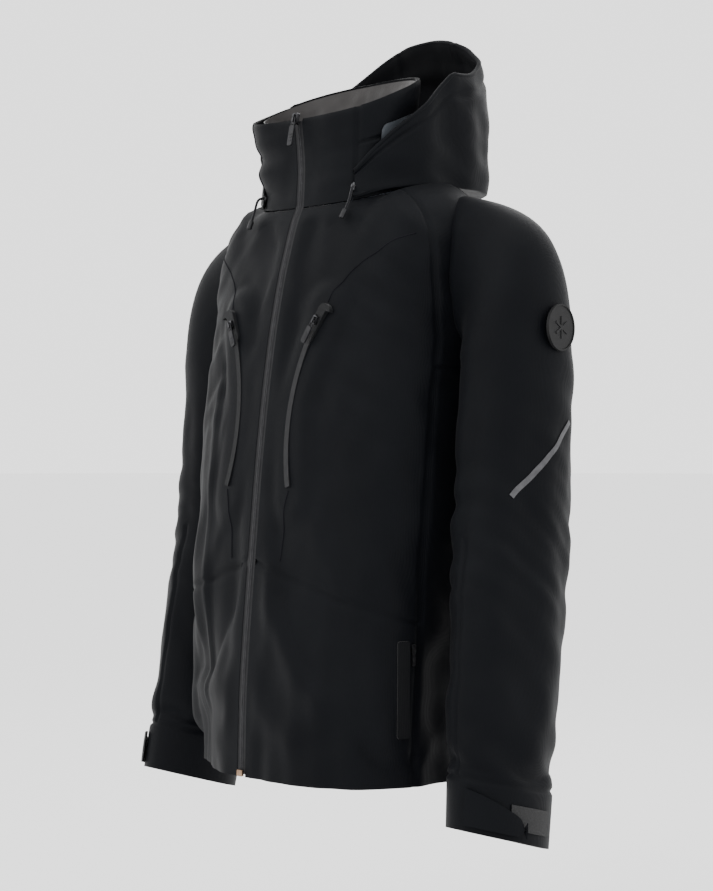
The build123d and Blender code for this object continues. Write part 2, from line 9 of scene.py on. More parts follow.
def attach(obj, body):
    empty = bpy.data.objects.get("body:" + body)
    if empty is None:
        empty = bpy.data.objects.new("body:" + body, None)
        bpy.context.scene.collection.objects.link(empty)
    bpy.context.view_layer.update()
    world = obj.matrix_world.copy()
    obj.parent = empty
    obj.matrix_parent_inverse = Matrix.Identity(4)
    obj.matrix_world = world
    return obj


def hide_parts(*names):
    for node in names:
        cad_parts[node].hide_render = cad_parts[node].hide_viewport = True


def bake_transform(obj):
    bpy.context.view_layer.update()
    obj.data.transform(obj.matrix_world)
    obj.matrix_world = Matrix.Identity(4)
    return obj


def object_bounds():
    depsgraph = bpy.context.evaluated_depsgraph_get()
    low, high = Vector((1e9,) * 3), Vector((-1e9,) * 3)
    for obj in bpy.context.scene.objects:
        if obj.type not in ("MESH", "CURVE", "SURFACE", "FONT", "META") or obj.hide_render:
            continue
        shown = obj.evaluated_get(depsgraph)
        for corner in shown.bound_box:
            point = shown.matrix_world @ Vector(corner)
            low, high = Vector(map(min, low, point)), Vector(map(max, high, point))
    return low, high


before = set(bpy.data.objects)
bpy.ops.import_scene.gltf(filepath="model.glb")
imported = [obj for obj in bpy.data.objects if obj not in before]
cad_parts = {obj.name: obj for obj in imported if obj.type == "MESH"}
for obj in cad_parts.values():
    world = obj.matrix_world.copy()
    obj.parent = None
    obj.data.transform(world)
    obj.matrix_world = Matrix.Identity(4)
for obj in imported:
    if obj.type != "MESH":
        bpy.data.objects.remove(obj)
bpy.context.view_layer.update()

MM = 0.001
SIDES = (("left", 1), ("right", -1))

# ---- the jacket's shape, in millimetres as in the CAD model ----
# cross-sections from the bottom up: height, half width, front, back, tilt in degrees
BODY = [
    (-645, 178, -149, 130, 0), (-540, 181, -146, 134, 0), (-400, 184, -134, 138, 0),
    (-280, 184, -122, 140, 0), (-170, 184, -107, 136, 0), (-90, 183, -92, 126, 2),
    (-38, 177, -79, 110, 5), (-8, 150, -71, 93, 9), (12, 100, -64, 68, 15),
]
COLLAR = [(14, 101, -63, 66, 15), (64, 101, -61, 58, 19), (124, 111, -66, 58, 24)]
HOOD = [
    (20, 130, -76, 168, 0), (75, 134, -82, 171, 0),
    (140, 131, -75, 168, 0), (212, 106, -15, 140, 0),
]
BODY_POWER, COLLAR_POWER, HOOD_POWER = 3.0, 2.7, 2.6    # squareness of each outline
TAPE_HALF = 7.0          # half width of the front zip
SIDE_X = 150.0           # seam between side and back panels
SIDE_TURN = -18.0        # seam between front and side panels, degrees from the side
YOKE_Z, UNDERARM_Z = -95.0, -185.0
WAIST_INNER_Z, WAIST_OUTER_Z = -405.0, -466.0           # front seam at the zip and at the side
RAGLAN_Y, RAGLAN_Z, RAGLAN_BACK = -24.0, -75.0, 28.0    # depth and foot in front, turn at the back
SEAM_DEPTH = 2.4
SHOULDER_LIFT = 17.0     # rise that slopes the shoulder into the sleeve, with its start and run
SHOULDER_X, SHOULDER_Z = (98.0, 34.0), (-75.0, 62.0)
ELBOW = np.array((244.0, 31.0, -372.0))
CUFF = np.array((268.0, -16.0, -692.0))
HEAD_SEMI, ELBOW_SEMI, CUFF_SEMI = (57.0, 66.0), (52.0, 74.0), (46.0, 65.0)
CUFF_TILT, CUFF_SHARE = 16.0, 0.82
HOLE_Y, HOLE_Z, HOLE_DEEP, HOLE_HIGH = 44.0, -90.0, 49.0, 95.0   # oval armhole in the body cloth
START = np.array((244.0, 38.0, -186.0))     # middle of the sleeve just under the arm
COLLAR_LOW, COLLAR_HIGH = 13.0, 124.0
CHIN_TURN, CHIN_Z = -45.0, 79.0             # seams that mark off the collar's chin block
FACING_TURN, FACING_SHOWS = -24.0, 16.0     # where the neck facing starts, and its height over the rim
HOOD_RIM = ((-78.0, 22.0), (122.0, 210.0))  # rim plane, front and top, Y and Z
HOOD_CAP_Z, HOOD_EDGE_DROP, HOOD_CAP_POWER = 210.0, 40.0, 2.4
HOOD_FRONT = -46.0       # front ends of the hood, degrees from the side
HOOD_CLOSES = 34.0       # turn over which the hood closes in on the collar
HOOD_SEAM_X, HOOD_SEAM_Z = 62.0, 75.0
CHEST_ARC = ((77.0, -132.0), (46.0, -228.0), (54.0, -322.0))     # chest zip, X and Z
HAND_Y, HAND_Z = -66.0, -540.0
# sewn lines across the front, X and Z: chest yoke to the raglan seam, and pocket to the waist seam
CHEST_SEAMS = (
    ((84, -118), (88, -104), (104, -84), (130, -64), (152, -50), (166, -44)),
    ((54, -326), (50, -340), (46, -372), (43, -404)),
)
TAB_SHARES, TAB_TURNS, TAB_SLANT = (0.86, 0.985), (-75.0, -8.0), 0.6
GRIP_SHARES, GRIP_TURNS = (0.885, 0.965), (-24.0, 27.0)
STRIP_AT, STRIP_LEAN, STRIP_LONG, STRIP_WIDE = (26.0, -290.0), 45.0, 112.0, 6.0
SKIRT_TOP_Z, SKIRT_END_Z = -440.0, -560.0
# pocket bags: node, top, end, inner and outer X
BAGS = (
    ("chest_pocket_bags", -170.0, -350.0, 40.0, 137.0),
    ("hand_pocket_bags", -482.0, -630.0, 79.0, 171.0),
)
LOOP = (
    (-26, 50, 26), (-24, 46, 25), (-21, 41.5, 23), (-16, 40, 22), (0, 39.5, 21.5),
    (16, 40, 22), (21, 41.5, 23), (24, 46, 25), (26, 50, 26),
)

# ---- cloth, in metres ----
BODY_THICK, SLEEVE_THICK, HOOD_THICK, COLLAR_THICK = 0.0035, 0.004, 0.003, 0.005
CORD_DIAMETER = 0.003
CORD_ROUTE = [
    (0.0793, -0.0502, 0.0140), (0.0814, -0.0536, 0.0142), (0.0830, -0.0575, 0.0110),
    (0.0836, -0.0595, 0.0045), (0.0832, -0.0625, -0.0050), (0.0823, -0.0669, -0.0137),
]

# ---- folds: height in millimetres, sizes along X, Y and Z, and seed ----
BODY_CREASES = ((3.0, (70, 70, 95), 3), (1.6, (30, 30, 42), 8))
COLLAR_CREASES = ((1.6, (34, 34, 46), 7), (1.0, (60, 60, 16), 2))
COLLAR_LINING_CREASES = ((2.2, (26, 26, 44), 1), (1.2, (14, 14, 20), 3))
HOOD_CREASES = ((4.5, (60, 60, 52), 5), (2.5, (30, 30, 24), 6))
FACING_CREASES = ((0.6, (22, 22, 26), 4),)
SKIRT_GATHERS = ((2.2, (14, 14, 160), 2),)

# ---- camera ----
VIEW_TURN = 48.0         # degrees from straight ahead, towards the wearer's left
VIEW_FAR = 2.36
VIEW_HEIGHT = -0.27
VIEW_SIDE = 0.018
VIEW_SENSOR = 36
VIEW_LENS = 81.93939
VIEW_SHIFT = -0.0061728


def make_camera():
    turn = radians(VIEW_TURN)
    data = bpy.data.cameras.new("camera")
    data.sensor_width = VIEW_SENSOR
    data.lens = VIEW_LENS
    data.shift_y = VIEW_SHIFT
    camera = bpy.data.objects.new("camera", data)
    bpy.context.collection.objects.link(camera)
    camera.location = (
        VIEW_FAR * sin(turn) + VIEW_SIDE * cos(turn),
        -VIEW_FAR * cos(turn) + VIEW_SIDE * sin(turn),
        VIEW_HEIGHT,
    )
    camera.rotation_euler = (pi / 2, 0, turn)
    bpy.context.scene.camera = camera


# ---- materials ----
CLOTH_SPECULAR, PLAIN_SPECULAR = 0.06, 0.2


def set_inputs(node, values):
    for name, value in values.items():
        node.inputs[name].default_value = value


def node_material(name, roughness, specular=PLAIN_SPECULAR, metallic=0.0):
    material = bpy.data.materials.new(name)
    material.use_nodes = True
    nodes, links = material.node_tree.nodes, material.node_tree.links
    shader = nodes["Principled BSDF"]
    set_inputs(shader, {"Roughness": roughness, "Metallic": metallic, "Specular IOR Level": specular})
    place = nodes.new("ShaderNodeTexCoord").outputs["Object"]
    return material, (nodes, links, place, shader)


def noise_height(kit, scale, detail=3.0):
    nodes, links, place, shader = kit
    grain = nodes.new("ShaderNodeTexNoise")
    set_inputs(grain, {"Scale": scale, "Detail": detail})
    links.new(place, grain.inputs["Vector"])
    return grain.outputs["Fac"]


def ribs(kit, threads, direction, distortion=0.0, detail=2.0):
    nodes, links, place, shader = kit
    wave = nodes.new("ShaderNodeTexWave")
    wave.bands_direction = direction
    set_inputs(wave, {"Scale": threads, "Distortion": distortion, "Detail": detail})
    links.new(place, wave.inputs["Vector"])
    return wave.outputs["Fac"]


def weave_height(kit, threads):
    """Height of a plain weave: two sets of fine ribs crossing."""
    nodes, links, place, shader = kit
    both = nodes.new("ShaderNodeMath")
    both.operation = "MULTIPLY"
    for number, direction in enumerate("XZ"):
        links.new(ribs(kit, threads, direction, 0.6, 1.0), both.inputs[number])
    return both.outputs[0]


def vary_colour(kit, scale, detail, low, high):
    """Let the colour drift between two tones."""
    nodes, links, place, shader = kit
    tones = nodes.new("ShaderNodeValToRGB")
    for element, position, tone in zip(tones.color_ramp.elements, (0.35, 0.65), (low, high)):
        element.position = position
        element.color = (*tone, 1)
    links.new(noise_height(kit, scale, detail), tones.inputs["Fac"])
    links.new(tones.outputs["Color"], shader.inputs["Base Color"])


def add_bump(kit, height, strength, distance, before=None):
    nodes, links, place, shader = kit
    bump = nodes.new("ShaderNodeBump")
    set_inputs(bump, {"Strength": strength, "Distance": distance})
    links.new(height, bump.inputs["Height"])
    if before is not None:
        links.new(before, bump.inputs["Normal"])
    links.new(bump.outputs["Normal"], shader.inputs["Normal"])
    return bump.outputs["Normal"]


def cloth_material(name, low, high, roughness=0.55, sheen=0.012, threads=260.0, crumple=0.25):
    """Woven cloth: drifting tone, fine weave and a soft crumple under it."""
    material, kit = node_material(name, roughness, CLOTH_SPECULAR)
    vary_colour(kit, 9, 4, low, high)
    set_inputs(kit[-1], {"Sheen Weight": sheen, "Sheen Roughness": 0.45})
    soft = add_bump(kit, noise_height(kit, 42), crumple, 0.002)
    add_bump(kit, weave_height(kit, threads), 0.35, 0.0004, soft)
    return material


def satin_material(name, low, high):
    """Smooth shiny lining cloth with a soft crumple."""
    material, kit = node_material(name, 0.34)
    vary_colour(kit, 14, 3, low, high)
    set_inputs(kit[-1], {"Sheen Weight": 0.03})
    soft = add_bump(kit, noise_height(kit, 60), 0.4, 0.002)
    add_bump(kit, weave_height(kit, 420), 0.2, 0.0003, soft)
    return material


def moulded_material(name, low, high, roughness):
    """Plastic or rubber with a fine grain."""
    material, kit = node_material(name, roughness)
    vary_colour(kit, 120, 3, low, high)
    add_bump(kit, noise_height(kit, 900), 0.3, 0.0003)
    return material


def metal_material(name, low, high, roughness):
    """Cast metal with a slightly uneven finish."""
    material, kit = node_material(name, roughness, 0.5, 1.0)
    vary_colour(kit, 300, 4, low, high)
    add_bump(kit, noise_height(kit, 700), 0.25, 0.0002)
    return material


def coil_material(name, low, high, teeth):
    """Zip tape: close ribs across it."""
    material, kit = node_material(name, 0.5)
    vary_colour(kit, 200, 2, low, high)
    add_bump(kit, ribs(kit, teeth, "Z"), 0.8, 0.0006)
    return material


def hook_material(name, low, high):
    """Rough hook-and-loop patch."""
    material, kit = node_material(name, 0.9, 0.5)
    vary_colour(kit, 700, 2, low, high)
    add_bump(kit, noise_height(kit, 1400, 1), 1.0, 0.001)
    return material


SHELL_CLOTH = cloth_material("shell cloth", (0.0012, 0.0015, 0.0024), (0.002, 0.0024, 0.0034))
HOOD_CLOTH = cloth_material("hood lining cloth", (0.0015, 0.0016, 0.002), (0.0025, 0.0027, 0.0034), 0.8, 0.0)
COLLAR_SATIN = satin_material("collar satin", (0.014, 0.0125, 0.0122), (0.026, 0.0235, 0.023))
BODY_SATIN = satin_material("body satin", (0.10, 0.11, 0.135), (0.14, 0.155, 0.185))
WADDING = cloth_material("wadding fibre", (0.6, 0.6, 0.6), (0.75, 0.75, 0.74), 0.9, 0.4, 120.0, 0.8)
TAPE_CLOTH = coil_material("zip tape", (0.006, 0.006, 0.007), (0.01, 0.01, 0.0115), 260)
COIL = coil_material("zip coil", (0.02, 0.02, 0.022), (0.034, 0.034, 0.037), 330)
SEAM_THREAD = cloth_material("seam thread", (0.003, 0.003, 0.004), (0.006, 0.006, 0.008), 0.8, 0, 500, 0)
STRIP = moulded_material("reflective strip", (0.04, 0.04, 0.043), (0.06, 0.06, 0.064), 0.5)
HOOKS = hook_material("hook and loop", (0.001, 0.001, 0.001), (0.009, 0.009, 0.01))
BONDED = cloth_material("bonded patch", (0.0022, 0.0024, 0.003), (0.0034, 0.0037, 0.0045), 0.5, 0.1, 600, .05)
RUBBER = moulded_material("badge rubber", (0.0018, 0.0018, 0.002), (0.0035, 0.0035, 0.004), 0.6)
FACING_SATIN = satin_material("neck facing satin", (0.035, 0.04, 0.046), (0.06, 0.066, 0.075))
PLASTIC = moulded_material("puller plastic", (0.006, 0.0062, 0.007), (0.012, 0.012, 0.014), 0.38)
NICKEL = metal_material("slider metal", (0.03, 0.03, 0.032), (0.07, 0.07, 0.075), 0.35)
BRASS = metal_material("bottom box metal", (0.22, 0.14, 0.09), (0.34, 0.23, 0.15), 0.38)
CORD_CLOTH = cloth_material("cord sheath", (0.004, 0.004, 0.005), (0.009, 0.009, 0.011), 0.7, 0.2, 900.0, 0.1)


# ---- cross-sections ----
def between(table, z):
    """Cross-section of a table at height z, on a smooth curve through its rows."""
    z = min(max(z, table[0][0]), table[-1][0])
    at = max(i for i in range(len(table) - 1) if table[i][0] <= z)
    low, high = table[at], table[at + 1]
    before, after = table[max(at - 1, 0)], table[min(at + 2, len(table) - 1)]
    span = high[0] - low[0]
    t = (z - low[0]) / span
    values = []
    for column in range(1, 5):
        a, b = low[column], high[column]
        slope_a = (b - before[column]) / (high[0] - before[0]) * span
        slope_b = (after[column] - a) / (after[0] - low[0]) * span
        values.append(
            a * (1 + 2 * t) * (1 - t) ** 2 + slope_a * t * (1 - t) ** 2
            + b * t * t * (3 - 2 * t) - slope_b * t * t * (1 - t)
        )
    return values


def surface(table, power, z, turn, depth=0.0):
    """Point in millimetres on a rounded outline at height z, turned from the left side."""
    wide, front, back, tilt = between(table, z)
    lean = radians(tilt)
    deep = (back - front) / 2 / cos(lean) - depth
    wide -= depth
    c, s = cos(radians(turn)), sin(radians(turn))
    size = (abs(c) ** power + abs(s) ** power) ** (-1 / power)
    across, along = wide * size * c, deep * size * s
    return (across, (front + back) / 2 + along * cos(lean), z + along * sin(lean))


def turn_at(table, power, z, x):
    """Turn at which the outline at height z passes the distance x from the middle."""
    wide = between(table, z)[0]
    return degrees(atan(((wide / x) ** power - 1) ** (1 / power)))


def smooth(t):
    t = np.clip(t, 0, 1)
    return t * t * (3 - 2 * t)


def ramp(values, start, run):
    """0 up to the start, then a smooth rise to 1."""
    return smooth((values - start) / run)


def hump(values, middle, spread):
    """1 at the middle, falling away on both sides."""
    return np.exp(-((values - middle) / spread) ** 2)


def crease(points, sizes, seed):
    """Uneven soft folds between -1 and 1; sizes are their lengths along X, Y and Z."""
    flat = (points / sizes).reshape(-1, 3)
    values = [noise.noise(Vector(p) + Vector((seed, 0, 0))) for p in flat]
    return np.array(values).reshape(points.shape[:-1])


def creases(points, folds):
    return sum(height * crease(points, sizes, seed) for height, sizes, seed in folds)


def calm_near_edges(shape, side_cells, foot_cells):
    """0 at the sides and the foot of a grid, rising to 1 some cells away from them."""
    rows, columns = np.arange(shape[0]), np.arange(shape[1])
    beside = np.minimum(columns, columns[::-1])
    return smooth(beside / side_cells)[None, :] * smooth(rows / foot_cells)[:, None]


# ---- meshes from grids ----
def grid_faces(rows, columns, closed=False):
    """Four-sided faces between the points of a grid."""
    faces = []
    wrap = columns if closed else columns - 1
    for r in range(rows - 1):
        for c in range(wrap):
            d = (c + 1) % columns
            faces.append((r * columns + c, r * columns + d, (r + 1) * columns + d, (r + 1) * columns + c))
    return faces


def mesh_object(name, points, faces, material, flip=False):
    """Smooth mesh from points in metres."""
    mesh = bpy.data.meshes.new(name)
    if flip:
        faces = [tuple(reversed(face)) for face in faces]
    mesh.from_pydata([tuple(p) for p in np.asarray(points).reshape(-1, 3)], [], faces)
    mesh.polygons.foreach_set("use_smooth", [True] * len(mesh.polygons))
    mesh.materials.append(material)
    obj = bpy.data.objects.new(name, mesh)
    bpy.context.collection.objects.link(obj)
    return obj


def grid_normals(grid, closed=False):
    """Unit normals of a grid of points; they point out when columns run anticlockwise."""
    if closed:
        across = np.roll(grid, -1, 1) - np.roll(grid, 1, 1)
    else:
        across = np.gradient(grid, axis=1)
    up = np.gradient(grid, axis=0)
    normal = np.cross(across, up)
    return normal / np.maximum(np.linalg.norm(normal, axis=2, keepdims=True), 1e-12)


def cloth_piece(name, grid, normals, thickness, material, closed=False, keep=None):
    """Cloth with a thickness: an outer and an inner face joined round every open edge."""
    rows, columns = grid.shape[:2]
    outer, up = grid.reshape(-1, 3), normals.reshape(-1, 3)
    count = len(outer)
    faces = grid_faces(rows, columns, closed)
    if keep is not None:
        faces = [face for face in faces if keep(outer[list(face)].mean(axis=0))]
    edges = {(face[i], face[(i + 1) % 4]) for face in faces for i in range(4)}
    rim = [(b, a, a + count, b + count) for a, b in sorted(edges) if (b, a) not in edges]
    back = [tuple(count + v for v in reversed(face)) for face in faces]
    points = np.concatenate([outer, outer - up * thickness])
    obj = mesh_object(name, points, faces + back + rim, material)
    mesh = obj.data
    mesh.normals_split_custom_set_from_vertices([tuple(n) for n in np.concatenate([up, -up])])
    return obj


def stand_in(obj, node, body=None):
    """Show a mesh piece in place of a CAD node."""
    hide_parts(node)
    if body:
        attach(obj, body)
    return obj


def add_extra(obj, body="body"):
    """Attach a piece with no CAD node of its own to a body to ride on."""
    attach(obj, body)


def layer(name, grid, thickness, material, body="body"):
    """Cloth on a grid, in place of the CAD node of the same name."""
    return stand_in(cloth_piece(name, grid, grid_normals(grid), thickness, material), name, body)


def even_out(values, closed, passes=7):
    """Smooth a field on a grid so that only folds wider than a few cells are left."""
    for step in range(passes):
        rows = np.concatenate([values[:1], values, values[-1:]])
        values = (rows[:-2] + 2 * values + rows[2:]) / 4
        if closed:
            beside = np.roll(values, 1, 1) + np.roll(values, -1, 1)
        else:
            columns = np.concatenate([values[:, :1], values, values[:, -1:]], axis=1)
            beside = columns[:, :-2] + columns[:, 2:]
        values = (beside + 2 * values) / 4
    return values


def settle(grid, hold, grow, gravity, closed=False, frames=18, cap=0.006, bend=12.0):
    """Let cloth with a little spare size settle; hold is each point's pin weight."""
    shape = grid.shape
    points, faces = grid.reshape(-1, 3), grid_faces(*shape[:2], closed)
    hold = hold.ravel()
    obj = mesh_object("settling", points, faces, SHELL_CLOTH)
    group = obj.vertex_groups.new(name="hold")
    for weight in np.unique(np.round(hold, 2)):
        chosen = np.nonzero(np.round(hold, 2) == weight)[0].tolist()
        if weight > 0:
            group.add(chosen, float(weight), "REPLACE")
    cloth = obj.modifiers.new("Cloth", "CLOTH")
    settings = cloth.settings
    settings.quality = 5
    settings.mass = 0.3
    settings.air_damping = 4
    settings.tension_stiffness = 25
    settings.compression_stiffness = 25
    settings.shear_stiffness = 15
    settings.bending_stiffness = bend
    settings.vertex_group_mass = "hold"
    settings.pin_stiffness = 1.0
    settings.shrink_min = -grow
    settings.effector_weights.gravity = gravity
    cloth.collision_settings.use_collision = False
    scene = bpy.context.scene
    cloth.point_cache.frame_start = 1
    cloth.point_cache.frame_end = frames
    for number in range(1, frames + 1):
        scene.frame_set(number)
    graph = bpy.context.evaluated_depsgraph_get()
    result = obj.evaluated_get(graph).to_mesh()
    moved = np.empty(len(result.vertices) * 3)
    result.vertices.foreach_get("co", moved)
    moved = moved.reshape(-1, 3)
    bpy.data.objects.remove(obj)
    scene.frame_set(1)
    shift = even_out((moved - points).reshape(shape), closed)
    size = np.linalg.norm(shift, axis=2, keepdims=True)
    return grid + shift * np.minimum(1, cap / np.maximum(size, 1e-9))


# ---- body cloth ----
FRONT_COLUMNS, SIDE_COLUMNS, BACK_COLUMNS = 44, 26, 44
ROW_BLOCKS = (34, 56, 20, 30)     # hem to waist seam, to underarm, to yoke, to neck
NECK_Z = BODY[-1][0]
CHEST_ZIP_HALF, HAND_ZIP_HALF = 105, 50
HAND_FROM_X, FAR_OFF = 120, 200
FLAT_RUN = (14, 26)               # the cloth is flat this near a pocket, then folds grow


def turn_by_depth(z, y):
    """Turn at which the body outline at height z reaches the depth y."""
    wide, front, back, tilt = between(BODY, z)
    along = (y - (front + back) / 2) / ((back - front) / 2)
    return degrees(atan2(along, (1 - abs(along) ** BODY_POWER) ** (1 / BODY_POWER)))


def front_seam_turn(z):
    """Front edge of the side panels: up the side, round the armhole and in to the neck."""
    over = turn_by_depth(z, RAGLAN_Y)
    share = float(ramp(z, UNDERARM_Z, RAGLAN_Z - UNDERARM_Z))
    return SIDE_TURN + (over - SIDE_TURN) * share


def back_seam_turn(z):
    """Back edge of the side panels, leaning in to the neck above the yoke."""
    seam = turn_at(BODY, BODY_POWER, min(z, YOKE_Z), SIDE_X)
    share = max(0.0, (z - YOKE_Z) / (NECK_Z - YOKE_Z))
    return seam + (RAGLAN_BACK - seam) * share


def waist_z(across):
    """Height of the slanting front seam; across runs from zip (0) to side seam (1)."""
    return WAIST_INNER_Z + (WAIST_OUTER_Z - WAIST_INNER_Z) * min(1.0, across)


def row_heights(across):
    """Heights of all grid rows in a column; the waist seam slants in front only."""
    marks = (BODY[0][0], waist_z(across), UNDERARM_Z, YOKE_Z, NECK_Z)
    heights = [marks[0]]
    for low, high, count in zip(marks, marks[1:], ROW_BLOCKS):
        heights += [low + (high - low) * i / count for i in range(1, count + 1)]
    return heights


def body_half():
    """Grid of the left half in millimetres, from the zip round to the middle of the back."""
    columns = []
    for c in range(FRONT_COLUMNS + SIDE_COLUMNS + BACK_COLUMNS + 1):
        across = min(1.0, c / FRONT_COLUMNS)
        column = []
        for z in row_heights(across):
            zip_turn = -turn_at(BODY, BODY_POWER, z, TAPE_HALF)
            front, back = front_seam_turn(z), back_seam_turn(z)
            if c <= FRONT_COLUMNS:
                turn = zip_turn + (front - zip_turn) * c / FRONT_COLUMNS
            elif c <= FRONT_COLUMNS + SIDE_COLUMNS:
                turn = front + (back - front) * (c - FRONT_COLUMNS) / SIDE_COLUMNS
            else:
                turn = back + (90 - back) * (c - FRONT_COLUMNS - SIDE_COLUMNS) / BACK_COLUMNS
            column.append(surface(BODY, BODY_POWER, z, turn))
        columns.append(column)
    return np.array(columns).transpose(1, 0, 2)


def body_folds(points):
    """Soft folds of the body cloth, in millimetres outwards."""
    x, y, z = points[..., 0], points[..., 1], points[..., 2]
    in_front = y < 0
    shift = creases(points, BODY_CREASES)
    # folds that hang to the hem
    shift += ramp(-z, 360, 160) * 4.0 * crease(points, (26, 30, 190), 1)
    # slanting drag lines below the armholes
    drag = hump(np.abs(x), 150, 60) * ramp(z, -330, 140)
    slanted = points + np.stack([0 * z, 0 * z, 0.8 * np.abs(x)], axis=-1)
    shift += 3.5 * drag * crease(slanted, (90, 60, 24), 5)
    # ripples down the wearer's right front
    right = hump(x, -105, 26) * ramp(-z, 60, 120) * in_front
    shift += 4.5 * right * crease(points, (13, 30, 260), 6)
    # the right hem is pulled in
    pulled = ramp(-z, 380, 250) * hump(x, -125, 62) * in_front
    return shift - 26.0 * pulled


def near_pockets(points):
    """1 beside the pockets, falling to 0 a few centimetres away, so that they stay flat."""
    x, y, z = np.abs(points[..., 0]), points[..., 1], points[..., 2]
    top, middle, end = CHEST_ARC
    line_x = np.interp(-z, (-top[1], -middle[1], -end[1]), (top[0], middle[0], end[0]))
    chest = np.hypot(x - line_x, np.maximum(0, np.abs(z - middle[1]) - CHEST_ZIP_HALF))
    hand = np.hypot(y - HAND_Y, np.maximum(0, np.abs(z - HAND_Z) - HAND_ZIP_HALF))
    hand += FAR_OFF * (x < HAND_FROM_X)
    in_front = y < 0
    return in_front * (1 - ramp(np.minimum(chest, hand), *FLAT_RUN))


def make_body_grid():
    """The whole body cloth in metres, from one side of the zip round to the other."""
    left = body_half()
    right = left[:, ::-1] * (-1, 1, 1)
    flat = np.concatenate([left, right[:, 1:]], axis=1)
    out, up = np.abs(flat[..., 0]), flat[..., 2]
    flat[..., 2] += SHOULDER_LIFT * ramp(up, *SHOULDER_Z) * ramp(out, *SHOULDER_X)
    normals = grid_normals(flat)
    calm = calm_near_edges(flat.shape, 6, 8)[::-1] * (1 - near_pockets(flat))
    folded = flat + normals * (body_folds(flat) * calm)[..., None]
    hold = np.full(flat.shape[:2], 0.10)
    hold[:, :2] = hold[:, -2:] = 1.0
    hold[-2:, :] = 1.0
    hold[:4, :] = 1.0
    moved = settle(folded * MM, hold, 0.02, 0.25)
    return flat * MM + (moved - flat * MM) * calm[..., None]


def sewn(grid, seam_rows, seam_columns, closed=False):
    """Draw the cloth in along its seams; each seam is (line, start, end)."""
    normals = grid_normals(grid, closed)
    dip = np.zeros(grid.shape[:2])
    for row, start, end in seam_rows:
        dip[row, start:end + 1] = SEAM_DEPTH
    for column, start, end in seam_columns:
        dip[start:end + 1, column] = SEAM_DEPTH
    grid = grid - normals * (dip * MM)[..., None]
    return grid, grid_normals(grid, closed)


def armhole_share(point):
    """How far a body point lies from the middle of its armhole; 1 is the edge."""
    return hypot((point[1] / MM - HOLE_Y) / HOLE_DEEP, (point[2] / MM - HOLE_Z) / HOLE_HIGH)


def off_armhole(point):
    """The shell reaches a little way in under the sleeve."""
    return armhole_share(point) > 0.93


def well_off_armhole(point):
    """The layers inside stay back, so that they don't show where an arm is raised."""
    return armhole_share(point) > 1.12


def make_body():
    """Cut the body cloth into its panels; returns the cloth and its normals."""
    grid = make_body_grid()
    rows, columns = grid.shape[0] - 1, grid.shape[1] - 1
    waist, under, yoke, neck = np.cumsum(ROW_BLOCKS)
    front, flank = FRONT_COLUMNS, FRONT_COLUMNS + SIDE_COLUMNS
    far_front, far_flank = columns - front, columns - flank
    seam_rows = [
        (waist, 0, front), (waist, far_front, columns), (under, front, flank),
        (under, far_flank, far_front), (yoke, flank, far_flank),
    ]
    seam_columns = [(column, 0, rows) for column in (front, flank, far_flank, far_front)]
    grid, normals = sewn(grid, seam_rows, seam_columns)

    def cut(name, row, column, keep=None):
        area = np.s_[row[0]:row[1] + 1, column[0]:column[1] + 1]
        panel = cloth_piece(name, grid[area], normals[area], BODY_THICK, SHELL_CLOTH, keep=keep)
        stand_in(panel, name, "body")

    for side, ahead, beside in (
        ("left", (0, front), (front, flank)), ("right", (far_front, columns), (far_flank, far_front)),
    ):
        cut(f"lower_front_panel_{side}", (0, waist), ahead)
        cut(f"front_panel_{side}", (waist, rows), ahead)
        cut(f"side_panel_{side}", (0, under), beside)
        cut(f"shoulder_panel_{side}", (under, rows), beside, off_armhole)
    cut("back_panel", (0, yoke), (flank, far_flank))
    cut("back_yoke", (yoke, rows), (flank, far_flank))
    return grid, normals


def inner_layer(name, body, rows, columns, depth, thickness, material):
    """Layer inside the body cloth, at a depth from it."""
    grid, normals = body
    area = np.s_[rows[0]:rows[1] + 1:2, columns[0]:columns[1] + 1:2]
    part = (grid - normals * depth)[area]
    obj = cloth_piece(name, part, grid_normals(part), thickness, material, keep=well_off_armhole)
    return stand_in(obj, name, "body")


# ---- sleeves ----
SLEEVE_COLUMNS = 88
HEAD_ROWS, UPPER_ROWS, FORE_ROWS, CUFF_ROWS = 34, 40, 66, 14
FOREARM_SEAM, INNER_SEAM = 66, 44           # columns of the two long seams
HEAD_PULL, HEAD_PULL_TOP, HEAD_SLOPE = 1.35, 0.35, -0.2   # how far the head bows out, most at the top


def ring_point(centre, size, tilt, turn):
    """Point on an oval ring round the sleeve, tilted forwards by some degrees."""
    lean = radians(tilt)
    deep = np.array((0, cos(lean), -sin(lean)))
    return centre + np.array((1, 0, 0)) * size[0] * cos(turn) + deep * size[1] * sin(turn)


def armhole_ring(body, turns):
    """Where the sleeve leaves the body cloth, found on the cloth itself, in millimetres."""
    grid, normals = body
    rows, columns = grid.shape[:2]
    half = columns // 2 + 1
    cloth = BVHTree.FromPolygons([Vector(p) for p in grid[:, :half].reshape(-1, 3)], grid_faces(rows, half))
    ring = []
    for turn in turns:
        y = (HOLE_Y + HOLE_DEEP * sin(turn)) * MM
        z = (HOLE_Z + HOLE_HIGH * cos(turn)) * MM
        spot = cloth.ray_cast(Vector((0.5, y, z)), Vector((-1, 0, 0)))[0]
        ring.append(np.array(spot) / MM - (2.0, 0, 0))
    return ring


